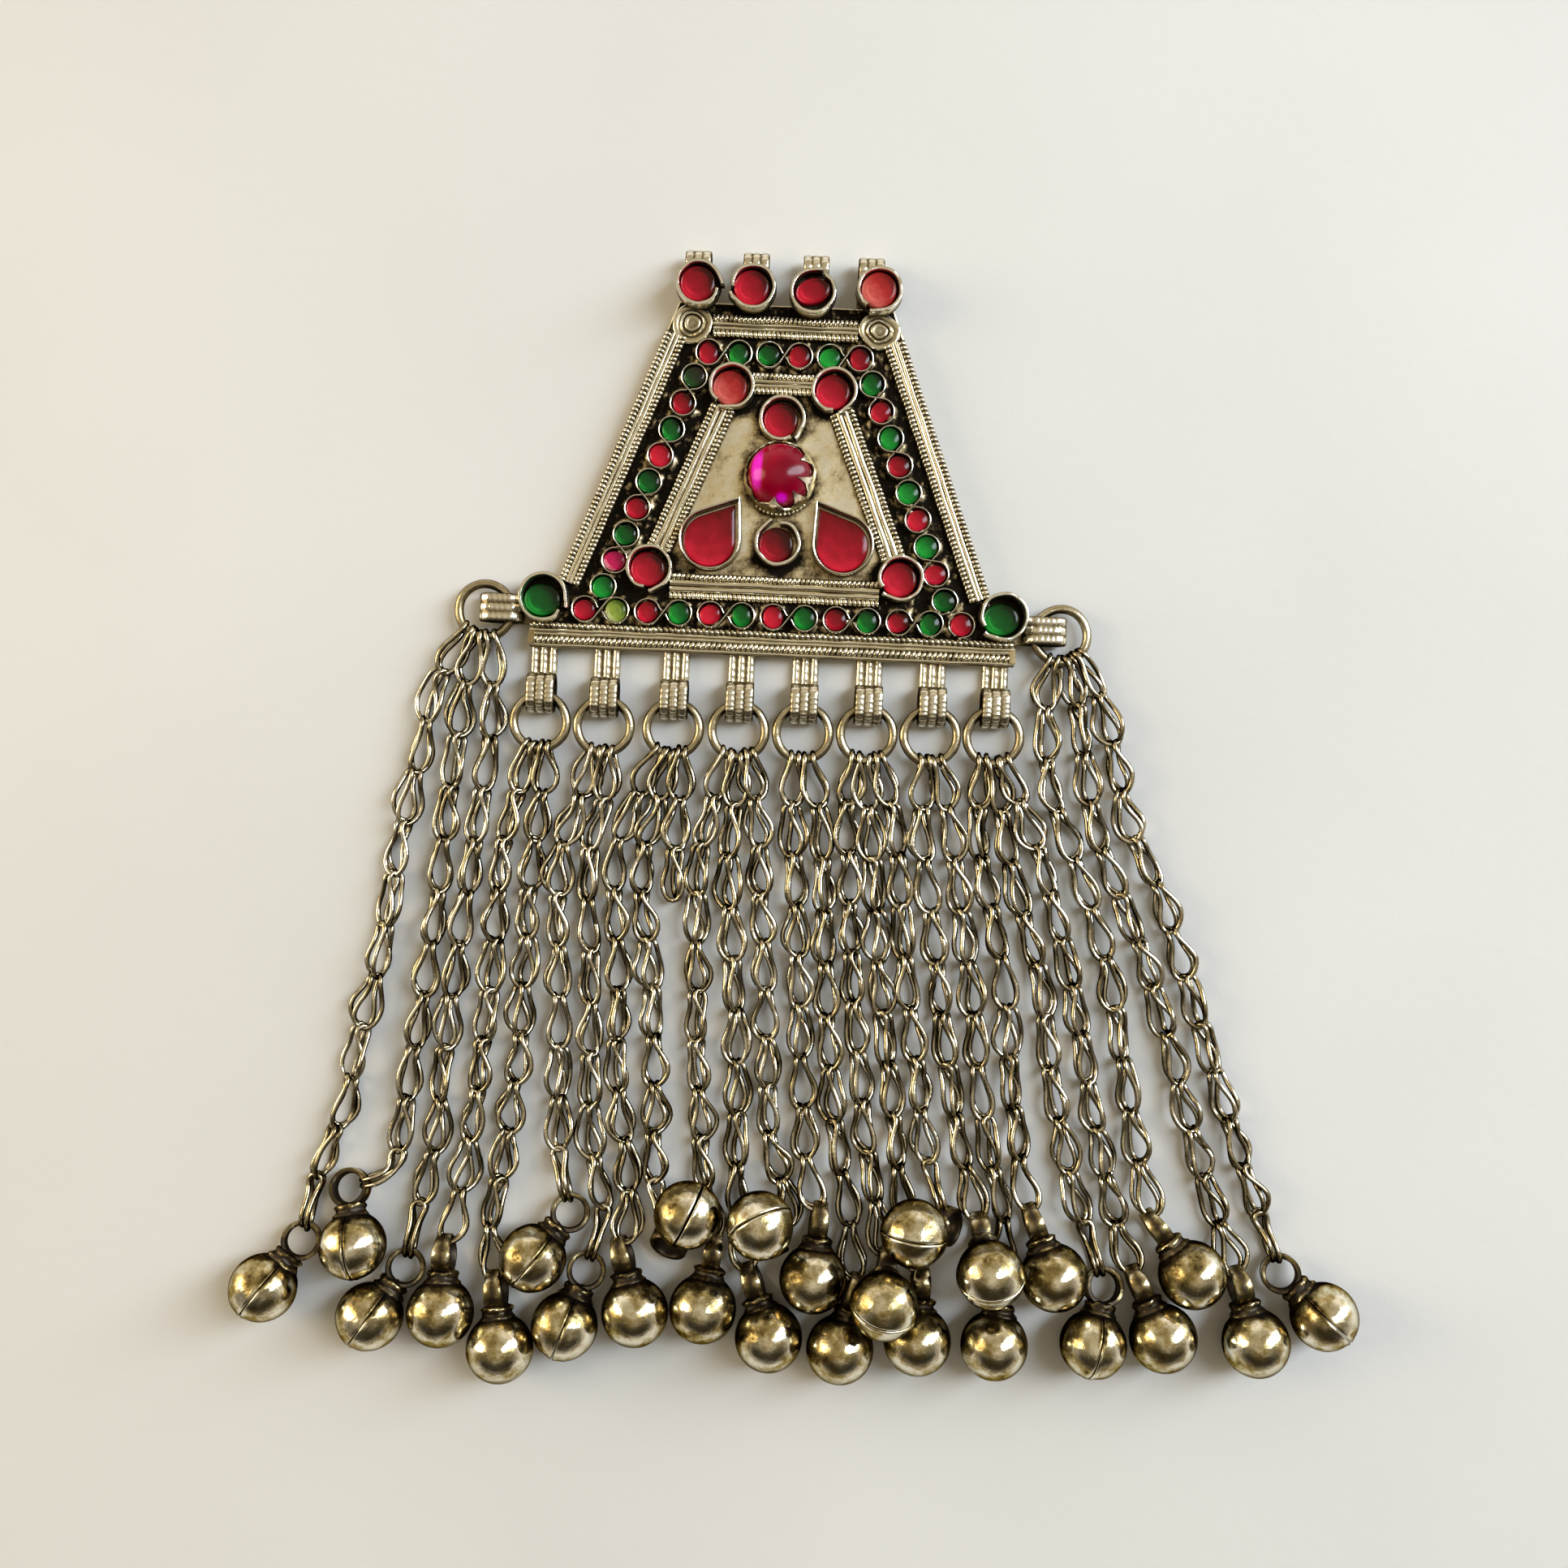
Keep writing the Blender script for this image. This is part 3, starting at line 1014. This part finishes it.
def make_border_stones():
    border = {name: Shape() for name in ("red", "pink", "green", "pale")}
    for k, at in enumerate(on_plate(BORDER)):
        colour = {PINK_BORDER: "pink", PALE_BORDER: "pale"}.get(k, "green" if BORDER_GREEN[k] else "red")
        glow = rng.uniform(-0.15, 0.25)
        oval = rng.uniform(0.86, 1)
        flat_stone(border[colour], at, BORDER_R - 0.27, STONE_FOOT, BORDER_RIM - 0.25, glow, dome=0.25,
                   segments=32, shift=(rng.uniform(-0.1, 0), rng.uniform(-0.08, 0.03)), squash=oval,
                   turn=rng.uniform(0, 3), shade=0.75 if k == DARK_BORDER else 0)
    for (name, shape), material in zip(border.items(), (ruby, pink, emerald, pale)):
        group = "red" if name in ("red", "pink") else "green"
        make_piece(f"border_{name}_glass", shape, material, [f"border_{group}_stones"])


# Rings

def make_rings():
    shape = Shape()
    angles = turn_round(96)
    for k, centre in enumerate(RINGS):
        r = RING_R + 0.04 * ring_waves(angles, 4, 9, 60 + k)
        wire = (RING_WIRE - 0.02) * (1 + 0.03 * waves(angles * 4, angles * 0, 3, 70 + k))
        tube(shape, circle(angles, r, RING_Z, centre), wire, 16, True, 0.45, rub=0.35)
    make_piece("hanging_rings", shape, ring_metal, ["rings"])


# Chains

def spline(points):
    """A smooth curve through all the points."""
    steps = 12
    points = np.asarray(points, float)
    padded = np.vstack([points[0], points, points[-1]])
    t = (np.arange(steps) / steps)[:, None]
    out = []
    for a, b, c, d in zip(padded, padded[1:], padded[2:], padded[3:]):
        bend = (2 * a - 5 * b + 4 * c - d) * t ** 2 + (3 * b - a - 3 * c + d) * t ** 3
        out.append(0.5 * (2 * b + (c - a) * t + bend))
    return np.vstack(out + [points[-1]])


def run_of(path):
    return np.concatenate([[0], np.cumsum(np.linalg.norm(np.diff(path, axis=0), axis=1))])


def read_off(values, run, at):
    """Rows of values at some places along their run."""
    return np.column_stack([np.interp(at, run, column) for column in values.T])


LINK_WIRE = 0.39
LINK_OVERLAP = 0.8
LINK_PITCH = 7.7
# Where the fold ends, which is also its half height, and the lie of each loop off the middle plane
LINK_FOLD = 1.12
LINK_LIE = 0.42
# A link from its fold to the far end of its loops: how far along, and the shares of its narrow
# and its wide half width there
LINK_AT = np.array([0, 0.04, 0.1, 0.2, 0.3, 0.42, 0.54, 0.66, 0.77, 0.86, 0.93, 0.975, 0.997])
LINK_NARROW = np.array([1, 1, 0.97, 0.95, 0.8, 0.45, 0.15, 0, 0, 0, 0, 0, 0])
LINK_BROAD = np.array([0, 0, 0, 0.03, 0.17, 0.48, 0.82, 1.0, 0.97, 0.84, 0.63, 0.4, 0.14])


def link_side(reach, waist, belly, sign_v, sign_w):
    """One side of a link's loop: from the fold, out to the belly and in to the far end."""
    u = reach * LINK_AT
    v = waist * LINK_NARROW + belly * LINK_BROAD
    fold = LINK_FOLD * np.sqrt(clip01(1 - (1 - u / LINK_FOLD) ** 2))
    flat = LINK_LIE + (LINK_FOLD - LINK_LIE) * (1 - ease((u - LINK_FOLD) / 2.6))
    return np.column_stack([u, sign_v * v, sign_w * np.where(u < LINK_FOLD, fold, flat)])


def link_points(length, waist, belly, trim, splay, drift):
    """One closed wire, folded over at its waist: both its loops lie at the far end, a little apart."""
    halves = []
    for reach, wide, sign in ((length, belly, 1), (length - trim, belly * 0.94, -1)):
        out = link_side(reach, waist, wide, sign, sign)
        back = link_side(reach, waist, wide, -sign, sign)[::-1]
        u, v, w = np.vstack([out, back]).T
        v, w = turned(v, w, splay * sign * ease((u - 1.2) / (reach * 0.5)))
        v = v + drift * sign * np.sin(clip01(u / reach) * math.pi) ** 1.5
        halves.append(np.column_stack([u, v, w])[:-1])
    return np.vstack(halves)


def smooth_loop(points):
    """Evens out a closed run of points and spaces them evenly."""
    points = points * 0.5 + (np.roll(points, 1, 0) + np.roll(points, -1, 0)) * 0.25
    around = np.vstack([points, points[:1]])
    run = run_of(around)
    return read_off(around, run, np.linspace(0, run[-1], 54, endpoint=False))


def make_chain(name, node, route, end_roll, seed):
    """Links along a route; the last one lies in the bell's loop, unless end_roll is None."""
    draws = random.Random(seed)
    path = spline(route)
    run = run_of(path)
    count = max(round((run[-1] - LINK_OVERLAP) / LINK_PITCH), 1)
    pitch = (run[-1] - LINK_OVERLAP) / count
    ahead = unit(np.gradient(path, axis=0))
    shape = Shape()
    for i in range(count):
        roll = math.radians(draws.choice((-1, 1)) * draws.uniform(4, 52))
        belly = 1.8 * draws.uniform(0.88, 1.14)
        splay = math.radians(draws.uniform(2, 26))
        if i == 0:
            roll *= 0.3
        if i == count - 1 and end_roll is not None:
            roll = end_roll
            belly = 1.95
            splay = 0.05
        u, v, w = link_points(pitch + LINK_OVERLAP, 0.6 * draws.uniform(0.85, 1.15), belly,
                              draws.uniform(0.05, 0.5), splay, draws.uniform(-0.75, 0.75)).T
        v = v + draws.uniform(-0.4, 0.4) * np.sin(u / pitch * math.pi)
        v = v + draws.uniform(-0.22, 0.22) * np.sin(u / pitch * TAU)
        v, w = turned(v, w, roll)
        at = i * pitch + u
        t = unit(read_off(ahead, run, at))
        sideways = unit(np.cross(t, (0, 0, 1)))
        points = read_off(path, run, at) + sideways * v[:, None] + np.cross(sideways, t) * w[:, None]
        points[:, 2] = np.maximum(points[:, 2], LINK_WIRE + 0.02)
        tube(shape, smooth_loop(points), LINK_WIRE, 8, True, draws.uniform(0.08, 0.26), rub=0.74)
    make_piece(name, shape, wire_metal, [node], sharp=80)


def bell_loop(bell):
    """The middle of a bell's loop."""
    x, y, z, heading, dip, _ = bell
    h = math.radians(heading)
    d = math.radians(dip)
    flat = BELL_LOOP_D * math.cos(d)
    return np.array([x + flat * math.cos(h), y + flat * math.sin(h), z - BELL_LOOP_D * math.sin(d)])


def chain_route(ring, hook, places):
    """From the ring's inner side along the places, which lie at a common height unless they say otherwise."""
    reach = RING_R - RING_WIRE - LINK_WIRE
    x, y = RINGS[ring]
    start = (x + reach * math.sin(math.radians(hook)), y - reach * math.cos(math.radians(hook)), RING_Z)
    return [np.array(start)] + [np.array([*p, CHAIN_LIE][:3]) for p in places]


def make_chains():
    for k, (ring, hook, bell, places) in enumerate(CHAINS):
        route = chain_route(ring, hook, places)
        loop = bell_loop(BELLS[bell - 1])
        end = loop + unit((route[-1] - loop) * (1, 1, 0)) * (BELL_LOOP_BORE - LINK_WIRE - 0.1)
        end[2] = max(loop[2] - 0.2, CHAIN_LIE * 0.8)
        roll = math.radians(BELLS[bell - 1][5])
        make_chain(f"links_{k + 1:02d}", f"chain_{k + 1:02d}", route + [end], roll, k)
    ring, hook, places = STUB
    make_chain("links_stub", "chain_stub", chain_route(ring, hook, places), None, 99)


# Bells

# A bell's lips from its outside in: radius, height over the seam, wear
BELL_LIPS = [(BELL_R + 0.02, 0.42, 0.85), (BELL_R + 0.03, 0.18, 1), (BELL_R - 0.1, 0.03, 0.6),
             (BELL_R - 0.3, 0, 0), (BELL_R - BELL_WALL, 0.05, 0)]
# Its collar: distance from the middle, radius, wear
COLLAR = [(3.7, 2.2, 0), (4.3, 2.75, 0.1), (4.55, 2.62, 0.4), (4.8, 2.35, 0.05), (5.1, 2.2, 0),
          (5.4, 2.3, 0.25), (5.7, 2.42, 0.5), (5.95, 2.3, 0.4), (6.2, 1.7, 0.1), (6.3, 0.7, 0.05)]
COLLAR_MIDDLE = (5.0, 0, 0)


def half_shell(shape, s, seed, gap, up, rubbed):
    """One half of a bell: dark underneath, and brightest on the side where it was rubbed most."""
    angles = turn_round(60)
    open_share = ease((0.18 - np.cos(angles)) / 0.4)
    outer = BELL_R - 0.03
    inner = BELL_R - BELL_WALL
    rows = []
    wear = []
    for b in np.radians([87, 79, 70, 61, 52, 43, 34, 25, 17, 10]):
        x = np.cos(angles) * math.cos(b) * 5
        y = np.sin(angles) * math.cos(b) * 5 + s * math.sin(b) * 4
        dent = 0.07 * waves(x + seed, y, 5, seed % 7) - 0.04
        rows.append(circle(angles, (outer + dent) * math.cos(b), s * outer * math.sin(b)))
        wear.append(0.7 + 0.22 * waves(x + 3 * seed, y, 6, seed))
    for r, z, w in BELL_LIPS:
        height = gap * open_share + z
        rows.append(circle(angles, np.sqrt(r * r - height ** 2), s * height))
        wear.append(w * (0.35 + 0.65 * open_share))
    for b in np.radians([15, 40, 65, 85]):
        rows.append(circle(angles, inner * math.cos(b), s * inner * math.sin(b)))
        wear.append(0 * angles)
    points = np.array(rows)
    wear = np.array(wear)
    solder = clip01(1 - (np.linalg.norm(points - COLLAR_MIDDLE, axis=2) - 2.4) / 1.6)
    out = unit(points)
    under = 1 - ease((out @ up + 0.02) / 0.42)
    wear = wear * (1 - 0.58 * under) + 0.16 * (out @ rubbed) * (wear > 0.3)
    shape.closed(points, clip01(wear - 0.75 * solder), 0.4 * solder)


def bell_collar(shape, seed):
    """The soldered neck between a bell and its loop, torn a little at its end."""
    angles = turn_round(32)
    rows = []
    wear = []
    for x, r, w in COLLAR:
        rough = waves(angles * 3, angles * 0 + x * 2, 3, seed + 3)
        torn = 0.15 * waves(angles * 4, angles * 0, 5, seed) * (x > 5.3)
        rows.append(circle(angles, r * (1 + 0.07 * rough), x + torn)[:, [2, 0, 1]])
        wear.append(clip01(w + 0.35 * rough))
    shape.closed(rows, wear, 0.45 - 0.35 * np.array(wear))


def bell_eye(shape):
    """A bell's loop: narrower at its far side, and dull near the collar."""
    angles = turn_round(52)
    half = BELL_LOOP_W / 2 - 0.1
    outer = BELL_LOOP_R - 0.02
    inner = BELL_LOOP_BORE + 0.05
    section = [(inner, half * 0.85, 0), (inner, -half * 0.85, 0), (inner + 0.15, -half, 0.5),
               (outer - 0.2, -half, 0.55), (outer, -half * 0.75, 1), (outer, 0, 0.3), (outer, half * 0.75, 1),
               (outer - 0.2, half, 0.55), (inner + 0.15, half, 0.5)]
    narrow = 1 - 0.22 * ease(np.cos(angles) * 0.8 + 0.2)
    near = ease((-np.cos(angles) - 0.3) / 0.5)
    rows = [circle(angles, r, y * narrow, (BELL_LOOP_D, 0))[:, [0, 2, 1]] for r, y, _ in section]
    wear = np.array([w * (0.8 - 0.5 * near) for _, _, w in section])
    shape.grid(rows, wear, 0.65 * (1 - wear), wrap_rows=True, wrap=True)


# The gap in the seam on the side away from the collar, in turn; the side that was rubbed most
SEAM_GAPS = (0.04, 0.06, 0.03, 0.13, 0.05)
RUBBED = (0.66, -0.6, 0.45)


def make_bells():
    """Each bell is made along its own x axis and then moved to its place."""
    for k, (x, y, z, heading, dip, turn) in enumerate(BELLS):
        move = Matrix.Translation((x, y, z)) @ Matrix.Rotation(math.radians(heading), 4, "Z")
        move = move @ Matrix.Rotation(math.radians(dip), 4, "Y") @ Matrix.Rotation(math.radians(turn), 4, "X")
        home = np.array(move.to_3x3().transposed())
        shape = Shape()
        for s in (-1, 1):
            half_shell(shape, s, k + 1, SEAM_GAPS[k % 5], home @ (0, 0, 1), home @ RUBBED)
        bell_collar(shape, k + 1)
        bell_eye(shape)
        make_piece(f"jingle_{k + 1:02d}", shape, bell_metal, [f"bell_{k + 1:02d}"],
                   sharp=50, move=move)


make_sheet()
make_strips()
make_settings()
make_border_settings()
make_crown()
make_rosettes()
make_bails()
make_dome()
make_drops()
make_red_stones()
make_corner_stones()
make_border_stones()
make_rings()
make_chains()
make_bells()


# Light: a window to the upper right, a soft warm wall on the left, a dim room above

def area_light(name, place, size, power, colour):
    """A light that shines at the middle of the floor."""
    data = bpy.data.lights.new(name, "AREA")
    data.shape = "ELLIPSE"
    data.size = size[0]
    data.size_y = size[1]
    data.energy = power
    data.color = colour
    light = bpy.data.objects.new(name, data)
    light.location = place
    light.rotation_euler = Vector(place).to_track_quat("Z", "Y").to_euler()
    bpy.context.scene.collection.objects.link(light)


area_light("window", (0.98, 0.46, 0.77), (0.5, 1.7), 19.5, (0.8, 0.9, 1.0))
area_light("wall", (-0.85, 0.12, 0.3), (0.45, 0.9), 4.6, (1, 0.8, 0.5))

# The room's walls are bright and its ceiling dim, and it is darker towards the lower edge
world = bpy.data.worlds.new("room")
room = Tree(world)
split = room.add("SeparateXYZ", {0: room.add("TexCoord", {}).outputs["Generated"]})
lit_side = room.ramp(split.outputs["Z"], [
    (0.0, (1.0, 0.91, 0.78)), (0.3, (0.95, 0.84, 0.68)), (0.55, (0.5, 0.43, 0.3)),
    (0.8, (0.42, 0.34, 0.2)), (1.0, (0.58, 0.5, 0.36)),
])
dim_side = room.ramp(split.outputs["Z"], [
    (0.0, (0.85, 0.77, 0.66)), (0.22, (0.3, 0.26, 0.2)), (0.5, (0.03, 0.025, 0.018)),
    (0.8, (0.06, 0.05, 0.03)), (0.93, (0.3, 0.25, 0.17)), (1.0, (0.58, 0.5, 0.36)),
])
towards = room.add("MapRange", {"From Min": -0.5, "From Max": 0.3, "Value": split.outputs["Y"]})
walls = room.mix(towards.outputs["Result"], dim_side, lit_side)
room.fill(room.nodes["Background"], {"Color": walls, "Strength": 0.92})
bpy.context.scene.world = world
bpy.context.scene.view_settings.view_transform = "Standard"
